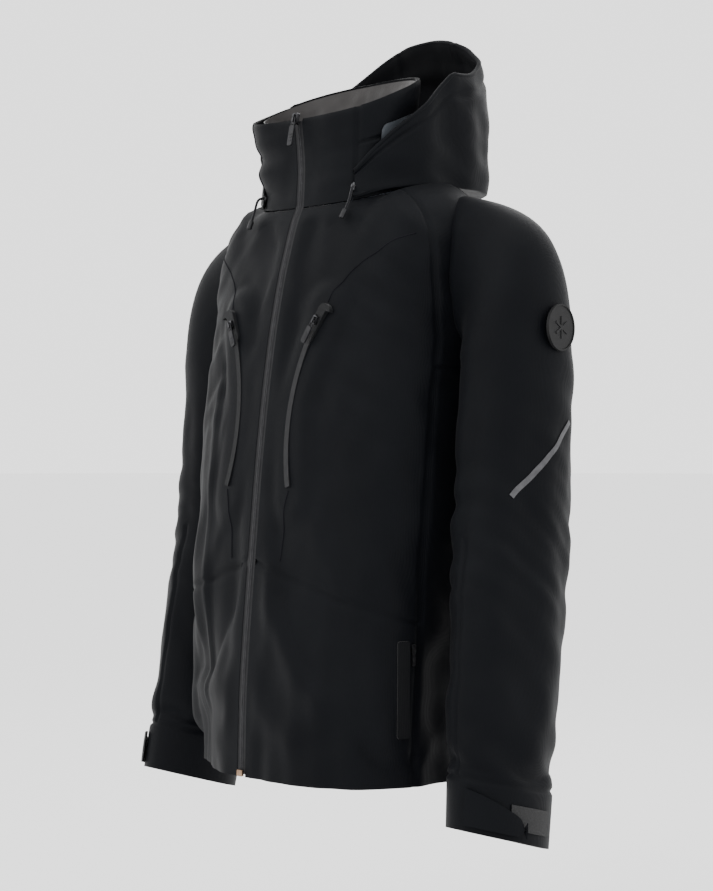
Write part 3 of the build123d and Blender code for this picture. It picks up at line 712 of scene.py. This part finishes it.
def head_point(start, end, turn, share):
    """Point on the line that leaves the armhole sideways and ends pointing down."""
    span = np.linalg.norm(end - start)
    pull = HEAD_PULL + HEAD_PULL_TOP * max(0.0, cos(turn))
    leave = np.array((1.0, 0.0, HEAD_SLOPE * abs(cos(turn)))) * span * pull
    land = np.array((0.0, 0.0, -1.0)) * span * pull
    t = share
    return (
        start * (1 + 2 * t) * (1 - t) ** 2 + leave * t * (1 - t) ** 2
        + end * t * t * (3 - 2 * t) - land * t * t * (1 - t)
    )


def sleeve_folds(points):
    """Diagonal elbow folds and soft ripples, in millimetres outwards."""
    y, z = points[..., 1], points[..., 2]
    elbow = hump(z, ELBOW[2], 75)
    diagonal = np.stack([points[..., 0], (y - z) * 0.7, (y + z) * 0.7], axis=-1)
    shift = 6.5 * elbow * crease(diagonal, (80, 90, 17), 2)
    shift += 3.2 * crease(diagonal, (60, 75, 30), 9) + 2.4 * crease(points, (55, 55, 75), 4)
    return shift


def make_sleeve_grid(body):
    """The left sleeve in metres, from the cuff's end up to the armhole."""
    turns = 2 * pi * np.arange(SLEEVE_COLUMNS) / SLEEVE_COLUMNS
    ring = armhole_ring(body, turns)
    grid = []
    for r in range(HEAD_ROWS):
        grid.append([
            head_point(at, ring_point(START, HEAD_SEMI, 0, turn), turn, r / HEAD_ROWS)
            for at, turn in zip(ring, turns)
        ])
    for r in range(UPPER_ROWS):
        share = r / UPPER_ROWS
        size = [a + (b - a) * share for a, b in zip(HEAD_SEMI, ELBOW_SEMI)]
        grid.append([ring_point(START + (ELBOW - START) * share, size, 0, turn) for turn in turns])
    for r in range(FORE_ROWS + CUFF_ROWS + 1):
        share = CUFF_SHARE * min(1, r / FORE_ROWS) + (1 - CUFF_SHARE) * max(0, r - FORE_ROWS) / CUFF_ROWS
        size = [a + (b - a) * share for a, b in zip(ELBOW_SEMI, CUFF_SEMI)]
        grid.append([
            ring_point(ELBOW + (CUFF - ELBOW) * share, size, CUFF_TILT * share, turn) for turn in turns
        ])
    grid = np.array(grid)[::-1]
    normals = grid_normals(grid, closed=True)
    rows, columns = grid.shape[:2]
    above = HEAD_ROWS - (rows - 1 - np.arange(rows))
    calm = smooth((np.arange(rows) - CUFF_ROWS) / 6) * smooth(-above / 6 + 1)
    grid = grid + normals * (sleeve_folds(grid) * calm[:, None])[..., None]
    hold = np.full((rows, columns), 0.08)
    hold[:CUFF_ROWS + 1] = 0.9
    hold[-HEAD_ROWS - 4:] = 1.0
    return settle(grid * MM, hold, 0.02, 0.35, closed=True)


def mirrored(grid, normals):
    """The other side: columns reversed so that the faces still point out."""
    turn = (-1, 1, 1)
    return grid[:, ::-1] * turn, normals[:, ::-1] * turn


def bend_shoulder(obj):
    """Bake the piece's placement into its mesh."""
    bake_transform(obj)


def bend_elbow(obj):
    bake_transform(obj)


def make_sleeves(body):
    grid = make_sleeve_grid(body)
    rows = grid.shape[0] - 1
    cuff, fore = CUFF_ROWS, CUFF_ROWS + FORE_ROWS
    middle = fore + UPPER_ROWS // 2
    first = sewn(grid, [(cuff, 0, SLEEVE_COLUMNS), (rows, 0, SLEEVE_COLUMNS)],
                 [(FOREARM_SEAM, cuff, fore), (INNER_SEAM, cuff, rows)], closed=True)
    sleeves = {}
    for side, k in SIDES:
        grid, normals = first if k > 0 else mirrored(*first)
        sleeves[side] = (grid, normals)

        def cut(name, low, high):
            area = np.s_[low:high + 1]
            return cloth_piece(name, grid[area], normals[area], SLEEVE_THICK, SHELL_CLOTH, closed=True)

        bend_shoulder(stand_in(cut(f"sleeve_head_{side}", middle, rows), f"upper_sleeve_{side}"))
        bend_elbow(stand_in(cut(f"upper_sleeve_{side}", fore, middle), f"upper_sleeve_{side}"))
        bend_elbow(stand_in(cut(f"forearm_sleeve_{side}", cuff, fore), f"forearm_sleeve_{side}"))
        stand_in(cut(f"cuff_band_{side}", 0, cuff), f"cuff_band_{side}", f"forearm_{side}")
    return sleeves


# ---- small shapes ----
def tube(name, path, radius, material, sides=10):
    """Round bar along a path of points in metres, its ends closed."""
    path = np.asarray(path, float)
    along = np.gradient(path, axis=0)
    along /= np.linalg.norm(along, axis=1, keepdims=True)
    side = np.cross(along, np.roll(along[0], 1) + (0.3, 0.1, 0.2))
    side /= np.linalg.norm(side, axis=1, keepdims=True)
    other = np.cross(along, side)
    turns = 2 * pi * np.arange(sides) / sides
    rings = [path + radius * (side * cos(t) + other * sin(t)) for t in turns]
    grid = np.stack(rings, axis=1)
    count = len(path) * sides
    faces = grid_faces(len(path), sides, True)
    faces += [tuple(range(sides))[::-1], tuple(range(count - sides, count))]
    return mesh_object(name, grid, faces, material)


def ribbon(name, middle, across, out, half, thickness, material, arch=0.0, teeth=0.0):
    """Strip along a line: across and out are unit vectors at each point, sizes in metres."""
    count = 7
    columns = np.linspace(-1, 1, count)
    rise = arch * (1 - columns ** 2)[None, :, None] + np.zeros((len(middle), count, 1))
    if teeth:
        bite = np.arange(len(middle)) % 2
        rise = rise * (1 - teeth * bite[:, None, None] * (np.abs(columns) < 0.9)[None, :, None])
    grid = middle[:, None] + across[:, None] * (columns * half)[None, :, None] + out[:, None] * rise
    normals = np.repeat(out[:, None], count, axis=1)
    return cloth_piece(name, grid, normals, thickness, material)


def band(table, power, low, high, start, end, depth, rows, columns):
    """Grid round an outline; start, end and depth are functions of the height."""
    grid = []
    for r in range(rows + 1):
        z = low + (high - low) * r / rows
        first, last = start(z), end(z)
        grid.append([
            surface(table, power, z, first + (last - first) * c / columns, depth(z))
            for c in range(columns + 1)
        ])
    return np.array(grid)


# ---- collar ----
def make_collar():
    """Stand-up collar and its lining, each an open ring from one side of the zip to the other."""
    rows, columns = 44, 160

    def zip_turn(z):
        return -turn_at(COLLAR, COLLAR_POWER, z, TAPE_HALF)

    def ring(low, high, depth):
        return band(COLLAR, COLLAR_POWER, low, high, zip_turn, lambda z: 180 - zip_turn(z),
                    lambda z: depth, rows, columns)

    grid = ring(COLLAR_LOW, COLLAR_HIGH, 0.0)
    normals = grid_normals(grid)
    calm = calm_near_edges(grid.shape, 6, 8)
    # the wearer's right front leans out above a pinch
    far_side = smooth(-grid[..., 0] / 60 - 0.2) * (grid[..., 1] < 20)
    lean = 9.0 * ramp(grid[..., 2], 14, 30) - 5.0 * hump(grid[..., 2], 60, 11)
    shift = creases(grid, COLLAR_CREASES) + far_side * lean
    rolled = np.zeros((rows + 1, 1))
    rolled[-3:, 0] = (0.2, 0.7, 1.8)
    grid = (grid + normals * (shift * calm - rolled)[..., None]) * MM
    first = zip_turn(CHIN_Z)
    chin = round((CHIN_TURN - first) / (180 - 2 * first) * columns)
    level = round((CHIN_Z - COLLAR_LOW) / (COLLAR_HIGH - COLLAR_LOW) * rows)
    grid, normals = sewn(grid, [(level, chin, columns - chin)], [(chin, 0, rows), (columns - chin, 0, rows)])
    shell = cloth_piece("collar_shell", grid, normals, COLLAR_THICK, SHELL_CLOTH)
    stand_in(shell, "collar_shell", "body")

    lining = ring(COLLAR_LOW + 1, COLLAR_HIGH - 1.5, 5.4)
    calm = calm * smooth(np.arange(rows + 1)[::-1] / 6)[:, None]
    shift = (creases(lining, COLLAR_LINING_CREASES) - 1.2) * calm
    lining = (lining + grid_normals(lining) * shift[..., None]) * MM
    layer("collar_lining", lining, 0.0015, COLLAR_SATIN)


# ---- hood ----
def hood_top(turn):
    """Height at which the hood's wall meets its rim."""
    (ya, za), (yb, zb) = HOOD_RIM
    low, high = HOOD[0][0], HOOD[-1][0] - 0.5
    for step in range(30):
        z = (low + high) / 2
        x, y, z = surface(HOOD, HOOD_POWER, z, turn)
        rim = za + (y - ya) * (zb - za) / (yb - ya)
        cap = HOOD_CAP_Z - HOOD_EDGE_DROP * (abs(x) / HOOD[-1][1]) ** HOOD_CAP_POWER
        low, high = (z, high) if z < min(rim, cap) else (low, z)
    return low


def hood_point(z, turn):
    """Point on the hood's wall, which closes in on the collar towards its front ends."""
    wall = np.array(surface(HOOD, HOOD_POWER, z, turn))
    collar = np.array(surface(COLLAR, COLLAR_POWER, z, turn, -3.0))
    from_end = min(turn, 180 - turn) - HOOD_FRONT
    return collar + (wall - collar) * max(0.06, float(smooth(from_end / HOOD_CLOSES)))


def hood_foot_point(share, turn):
    """Point on the part that turns in under the hood, from the neck seam out to the wall."""
    foot = HOOD[0][0]
    neck = np.array(surface(COLLAR, COLLAR_POWER, foot, turn, -1.0))
    point = neck + (hood_point(foot, turn) - neck) * sin(share * pi / 2)
    return point - (0, 0, 5 * sin(share * pi))


def hood_turns(side_columns, centre_columns):
    """Turns of the hood's columns, closer or wider spaced so that two of them run along the seams."""
    seam = turn_at(HOOD, HOOD_POWER, HOOD_SEAM_Z, HOOD_SEAM_X)
    turns = [HOOD_FRONT + (seam - HOOD_FRONT) * c / side_columns for c in range(side_columns)]
    turns += [seam + (180 - 2 * seam) * c / centre_columns for c in range(centre_columns)]
    turns += [180 - turn for turn in turns[side_columns::-1]]
    return turns[:2 * side_columns + centre_columns + 1]


def lift_with_hood(obj):
    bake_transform(obj)


def make_hood():
    """Three-panel hood lying open behind the collar, sewn to the neck under its fold."""
    rows, under, side_columns, centre_columns = 40, 9, 44, 36
    turns = hood_turns(side_columns, centre_columns)
    foot = HOOD[0][0]
    grid = [[hood_foot_point(r / under, turn) for turn in turns] for r in range(under)]
    for r in range(rows + 1):
        grid.append([hood_point(foot + (hood_top(turn) - foot) * r / rows, turn) for turn in turns])
    grid = np.array(grid)
    normals = grid_normals(grid)
    count, columns = grid.shape[0] - 1, grid.shape[1] - 1
    calm = calm_near_edges(grid.shape, 5, 9)
    hem_stitch = -2.5 * hump(np.arange(count + 1), count - 7, 1.4)[:, None]
    grid = (grid + normals * (creases(grid, HOOD_CREASES) * calm + hem_stitch)[..., None]) * MM
    hold = np.full(grid.shape[:2], 0.12)
    hold[:3] = 1.0
    hold[:, :2] = hold[:, -2:] = 1.0
    hold[-2:] = 0.5
    grid = settle(grid, hold, 0.015, 0.2, cap=0.004)
    left, right = side_columns, side_columns + centre_columns
    grid, normals = sewn(grid, [], [(left, 0, count), (right, 0, count)])
    for name, start, end in (
        ("hood_side_left", 0, left), ("hood_centre", left, right), ("hood_side_right", right, columns),
    ):
        area = np.s_[:, start:end + 1]
        panel = cloth_piece(name, grid[area], normals[area], HOOD_THICK, SHELL_CLOTH)
        lift_with_hood(stand_in(panel, name))
    inside = (grid - normals * 0.0045)[under + 1:]
    inside[-1] = grid[-1] - normals[-1] * 0.002
    lift_with_hood(layer("hood_lining", inside, 0.0015, HOOD_CLOTH, None))
    binding = tube("hood_rim_binding", grid[-1] - normals[-1] * 0.0016, 0.0026, SHELL_CLOTH)
    lift_with_hood(binding)


def make_neck_facing():
    """Pale cloth round the collar's outside, seen over the hood's rim."""
    rows, columns, foot = 14, 110, 30
    grid = np.empty((rows + 1, columns + 1, 3))
    for c in range(columns + 1):
        turn = FACING_TURN + (180 - 2 * FACING_TURN) * c / columns
        from_end = min(turn, 180 - turn) - FACING_TURN
        top = min(CHIN_Z + 13, hood_top(turn) + FACING_SHOWS * float(smooth(from_end / 30)))
        for r in range(rows + 1):
            grid[r, c] = surface(COLLAR, COLLAR_POWER, foot + (top - foot) * r / rows, turn, -1.2)
    grid = (grid + grid_normals(grid) * (creases(grid, FACING_CREASES) + 0.6)[..., None]) * MM
    facing = cloth_piece("neck_facing", grid, grid_normals(grid), 0.001, FACING_SATIN)
    add_extra(facing)


# ---- zips ----
def front_line(x, low, high, step, lift):
    """Points up the front at a distance from the middle, over body and collar, in metres."""
    points = []
    for table, power, bottom, top in (
        (BODY, BODY_POWER, low, BODY[-1][0] - 1), (COLLAR, COLLAR_POWER, COLLAR[0][0] + 1, high),
    ):
        count = round((top - bottom) / step)
        for i in range(count + 1):
            z = bottom + (top - bottom) * i / count
            points.append(surface(table, power, z, -turn_at(table, power, z, x), -lift))
    return np.array(points) * MM


def make_main_zip():
    """Two tapes, each with its row of teeth beside the middle."""
    low, high, inner, spacing = BODY[0][0] + 3, 121.0, 0.3, 4.0
    for side, k in SIDES:
        near = front_line(inner, low, high, spacing, -0.5)
        far = front_line(TAPE_HALF - 0.1, low, high, spacing, -0.5)
        grid = np.stack([near + (far - near) * c / 4 for c in range(5)], axis=1) * (k, 1, 1)
        if k < 0:
            grid = grid[:, ::-1]
        layer(f"zip_tape_{side}", grid, 0.0016, TAPE_CLOTH)
        middle = front_line(1.3, low, high, 0.9, -0.35) * (k, 1, 1)
        out = np.repeat([(0.0, -1.0, 0.0)], len(middle), axis=0)
        across = np.repeat([(1.0, 0.0, 0.0)], len(middle), axis=0)
        coil = ribbon(f"main_coil_{side}", middle, across, out, 0.0009, 0.0008, COIL, 0.0009, 0.45)
        add_extra(coil)


def surface_hits(cloth, points, start, way, lift):
    """Points dropped on to a cloth from one side, with the cloth's own normals."""
    found, normals = [], []
    for y, z in points:
        spot, normal = cloth.ray_cast(Vector((start, y * MM, z * MM)), Vector((way, 0, 0)))[:2]
        if normal.x * way > 0:
            normal = -normal
        found.append(np.array(spot) + np.array(normal) * lift)
        normals.append(np.array(normal))
    return np.array(found), np.array(normals)


def make_chest_seams(body):
    """Fine sewn lines lying on the front cloth."""
    grid, normals = body
    rows, columns = grid.shape[:2]
    cloth = BVHTree.FromPolygons([Vector(p) for p in grid.reshape(-1, 3)], grid_faces(rows, columns))
    for side, k in SIDES:
        for number, line in enumerate(CHEST_SEAMS):
            marks = np.array(line, float)
            steps = np.linalg.norm(np.diff(marks, axis=0), axis=1)
            along = np.concatenate([[0], np.cumsum(steps)])
            at = np.linspace(0, along[-1], max(12, int(along[-1] / 3)))
            path = []
            for x, z in zip(np.interp(at, along, marks[:, 0]), np.interp(at, along, marks[:, 1])):
                spot = cloth.ray_cast(Vector((k * x * MM, -0.4, z * MM)), Vector((0, 1, 0)))[0]
                path.append(np.array(spot))
            path = np.array(path)
            path[1:-1] = (path[:-2] + path[1:-1] * 2 + path[2:]) / 4
            seam = tube(f"chest_seam_{number}_{side}", path, 0.0008, SEAM_THREAD, 8)
            add_extra(seam)


# ---- sleeve details ----
TIP_FROM = 0.86          # share of the cuff tab's length where its round tip starts


def cuff_point(share, turn, lift):
    """Point over the cuff: its share of the forearm, its turn in degrees and its height."""
    centre = ELBOW + (CUFF - ELBOW) * share
    size = [a + (b - a) * share + lift for a, b in zip(ELBOW_SEMI, CUFF_SEMI)]
    return ring_point(centre, size, CUFF_TILT * share, radians(turn))


def cuff_strip(name, shares, turns, lift, thickness, material, k, tip):
    """Strip lying on the cuff, its far end rounded when tip is set."""
    rows, columns = 12, 34
    middle, half = sum(shares) / 2, (shares[1] - shares[0]) / 2
    grid = []
    for r in range(rows + 1):
        ring = []
        for c in range(columns + 1):
            across = c / columns
            past = max(0.0, (across - TIP_FROM) / (1 - TIP_FROM))
            narrow = sqrt(max(0.03, 1 - past ** 2)) if tip else 1.0
            share = middle + half * narrow * (1 - 2 * r / rows)
            if tip:
                share += TAB_SLANT * half * across ** 1.5 * (2 * r / rows)
            swell = 0.4 * sin(pi * r / rows)
            turn = turns[0] + (turns[1] - turns[0]) * across
            ring.append(cuff_point(share, turn, lift + thickness + swell))
        grid.append(ring)
    grid = np.array(grid) * MM
    if k < 0:
        grid = grid[:, ::-1] * (-1, 1, 1)
    return cloth_piece(name, grid, grid_normals(grid), thickness * MM, material)


def make_cuff_pieces(side, k):
    tab = cuff_strip(f"cuff_tab_{side}", TAB_SHARES, TAB_TURNS, 2.6, 2.0, SHELL_CLOTH, k, True)
    stand_in(tab, f"cuff_tab_{side}", f"cuff_tab_{side}")
    grip = cuff_strip(f"grip_patch_{side}", GRIP_SHARES, GRIP_TURNS, 0.6, 1.1, HOOKS, k, False)
    stand_in(grip, f"grip_patch_{side}", f"forearm_{side}")


def make_reflective_strip(sleeve, side, k):
    """Slanting strip laid on the outside of the sleeve above the elbow."""
    grid, normals = sleeve
    rows, columns = grid.shape[:2]
    points = [Vector(p) for p in grid.reshape(-1, 3)]
    cloth = BVHTree.FromPolygons(points, grid_faces(rows, columns, True))
    c, s = cos(radians(STRIP_LEAN)), sin(radians(STRIP_LEAN))
    lines = []
    for offset in np.linspace(-0.5, 0.5, 4) * STRIP_WIDE:
        path = [
            (STRIP_AT[0] + t * c - offset * s, STRIP_AT[1] + t * s + offset * c)
            for t in np.linspace(-0.5, 0.5, 45) * STRIP_LONG
        ]
        lines.append(surface_hits(cloth, path, k * 0.5, -k, 0.0009))
    points = np.stack([line[0] for line in lines], axis=1)
    out = np.stack([line[1] for line in lines], axis=1)
    if k > 0:
        points, out = points[:, ::-1], out[:, ::-1]
    strip = cloth_piece(f"reflective_strip_{side}", points, out, 0.0005, STRIP)
    bend_elbow(stand_in(strip, f"reflective_strip_{side}"))


def make_sleeve_details(sleeves):
    for side, k in SIDES:
        make_cuff_pieces(side, k)
        make_reflective_strip(sleeves[side], side, k)


# ---- inside ----
def make_inner_layers(body):
    rows, columns = body[0].shape[0] - 1, body[0].shape[1] - 1
    area = (4, rows), (8, columns - 8)
    inner_layer("wadding", body, *area, 0.0042, 0.002, WADDING)
    inner_layer("body_lining", body, *area, 0.0082, 0.0012, BODY_SATIN)


def make_storm_flap():
    """Strip behind the zip, a little wider than the tapes."""
    def edge(z):
        return -turn_at(BODY, BODY_POWER, z, 23.0)

    grid = band(BODY, BODY_POWER, BODY[0][0] + 5, BODY[-1][0] - 1,
                lambda z: -180 - edge(z), edge, lambda z: 4.6, 70, 10)
    layer("storm_flap", grid * MM, 0.0025, SHELL_CLOTH)


def make_powder_skirt():
    """Gathered ring sewn at the waist, closing in towards an elastic band."""
    rows, columns, top_depth, end_depth = 40, 120, 11.0, 31.0
    slope = (top_depth - end_depth) / (SKIRT_TOP_Z - SKIRT_END_Z)

    def edge(z):
        return -turn_at(BODY, BODY_POWER, z, 26.0)

    skirt = band(BODY, BODY_POWER, SKIRT_END_Z, SKIRT_TOP_Z, edge, lambda z: 180 - edge(z),
                 lambda z: end_depth + slope * (z - SKIRT_END_Z), rows, columns)
    gather = creases(skirt, SKIRT_GATHERS) * smooth(1 - np.linspace(0, 1, rows + 1))[:, None]
    skirt = (skirt + grid_normals(skirt) * gather[..., None]) * MM
    layer("powder_skirt", skirt, 0.0013, BODY_SATIN)
    elastic = tube("powder_skirt_elastic", skirt[1] + (0, 0, 0.002), 0.0028, SHELL_CLOTH)
    add_extra(elastic)


def make_pocket_bags(body):
    """Flat bags cut from the body cloth's own grid, so that they follow it inside."""
    grid, normals = body
    rows, columns = grid.shape[0] - 1, grid.shape[1] - 1
    for name, top, end, near, far in BAGS:
        for side, k in SIDES:
            picked_rows = [r for r in range(rows) if end < grid[r, 12, 2] / MM < top]
            centre = grid[(picked_rows[0] + picked_rows[-1]) // 2]
            picked = [c for c in range(FRONT_COLUMNS) if near < centre[c, 0] / MM < far]
            if k < 0:
                picked = [columns - c for c in reversed(picked)]
            area = np.s_[picked_rows[0]:picked_rows[-1] + 1:3, picked[0]:picked[-1] + 1:2]
            bag = (grid - normals * 0.0068)[area]
            piece = cloth_piece(f"{name}_{side}", bag, grid_normals(bag), 0.0009, BODY_SATIN)
            stand_in(piece, name, "body")


def make_inside(body):
    make_inner_layers(body)
    make_storm_flap()
    make_powder_skirt()
    make_pocket_bags(body)
    stand_in(tube("hanger_loop", np.array(LOOP) * MM, 0.0017, CORD_CLOTH), "hanger_loop", "body")


# ---- drawcords ----
def make_cords():
    """The two ends that hang out of the collar's eyelets, each into its barrel tip."""
    for side, k in SIDES:
        curve = bpy.data.curves.new(f"hood_cord_{side}", "CURVE")
        curve.dimensions = "3D"
        spline = curve.splines.new("NURBS")
        spline.points.add(len(CORD_ROUTE) - 1)
        for point, place in zip(spline.points, CORD_ROUTE):
            point.co = (k * place[0], place[1], place[2], 1)
        spline.order_u = 3
        spline.use_endpoint_u = True
        curve.bevel_depth = CORD_DIAMETER / 2
        curve.bevel_resolution = 6
        curve.materials.append(CORD_CLOTH)
        obj = bpy.data.objects.new(f"hood_cord_{side}", curve)
        bpy.context.collection.objects.link(obj)
        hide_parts(f"hood_cord_{side}")
        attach(obj, "body")


# ---- CAD pieces kept as they are ----
def paint_kept():
    looks = {"zip_box": BRASS, "main_slider": NICKEL, "main_puller": PLASTIC, "sleeve_badge": RUBBER}
    for side, k in SIDES:
        looks.update({
            f"chest_slider_{side}": NICKEL, f"chest_puller_{side}": PLASTIC,
            f"chest_garage_{side}": BONDED, f"chest_tape_{side}": TAPE_CLOTH if k > 0 else BONDED,
            f"hand_slider_{side}": NICKEL, f"hand_welt_{side}": BONDED,
            f"cord_tip_{side}": PLASTIC, f"cord_eyelet_{side}": NICKEL,
        })
    for name, material in looks.items():
        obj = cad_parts[name]
        obj.data.materials.clear()
        obj.data.materials.append(material)


# ---- stage ----
FLOOR_RADIUS, FLOOR_DROP = 40, 0.25
SKY_STRENGTH = 2.1
LIGHT_FAR, LIGHT_Z = 2.6, -0.25      # distance from, and height of, the point the lights aim at
# lights: turn and rise in degrees, power, size
LIGHTS = (
    ("key", 5, 35, 22, 1.6), ("fill", 95, 20, 10, 2.0), ("top", 60, 80, 14, 2.0), ("rim", 200, 35, 14, 1.5),
)


def make_floor():
    floor_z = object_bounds()[0][2] - FLOOR_DROP
    bpy.ops.mesh.primitive_circle_add(
        vertices=96, radius=FLOOR_RADIUS, fill_type="NGON", location=(0, 0, floor_z))
    floor = bpy.context.object
    floor.name = "floor"
    material, kit = node_material("floor paint", 0.8, CLOTH_SPECULAR)
    set_inputs(kit[-1], {"Base Color": (0.9, 0.9, 0.9, 1)})
    floor.data.materials.append(material)


def make_stage():
    world = bpy.data.worlds.new("studio")
    bpy.context.scene.world = world
    world.use_nodes = True
    set_inputs(world.node_tree.nodes["Background"], {"Color": (1, 1, 1, 1), "Strength": SKY_STRENGTH})
    make_floor()
    for name, turn, rise, power, size in LIGHTS:
        data = bpy.data.lights.new(name, "AREA")
        data.energy = power
        data.size = size
        light = bpy.data.objects.new(name, data)
        bpy.context.collection.objects.link(light)
        a, e = radians(turn), radians(rise)
        away = Vector((sin(a) * cos(e), -cos(a) * cos(e), sin(e))) * LIGHT_FAR
        light.location = away + Vector((0, 0, LIGHT_Z))
        light.rotation_euler = (-away).to_track_quat("-Z", "Y").to_euler()


make_camera()
make_cords()
body = make_body()
sleeves = make_sleeves(body)
make_sleeve_details(sleeves)
make_chest_seams(body)
make_collar()
make_hood()
make_neck_facing()
make_main_zip()
make_inside(body)
paint_kept()
make_stage()
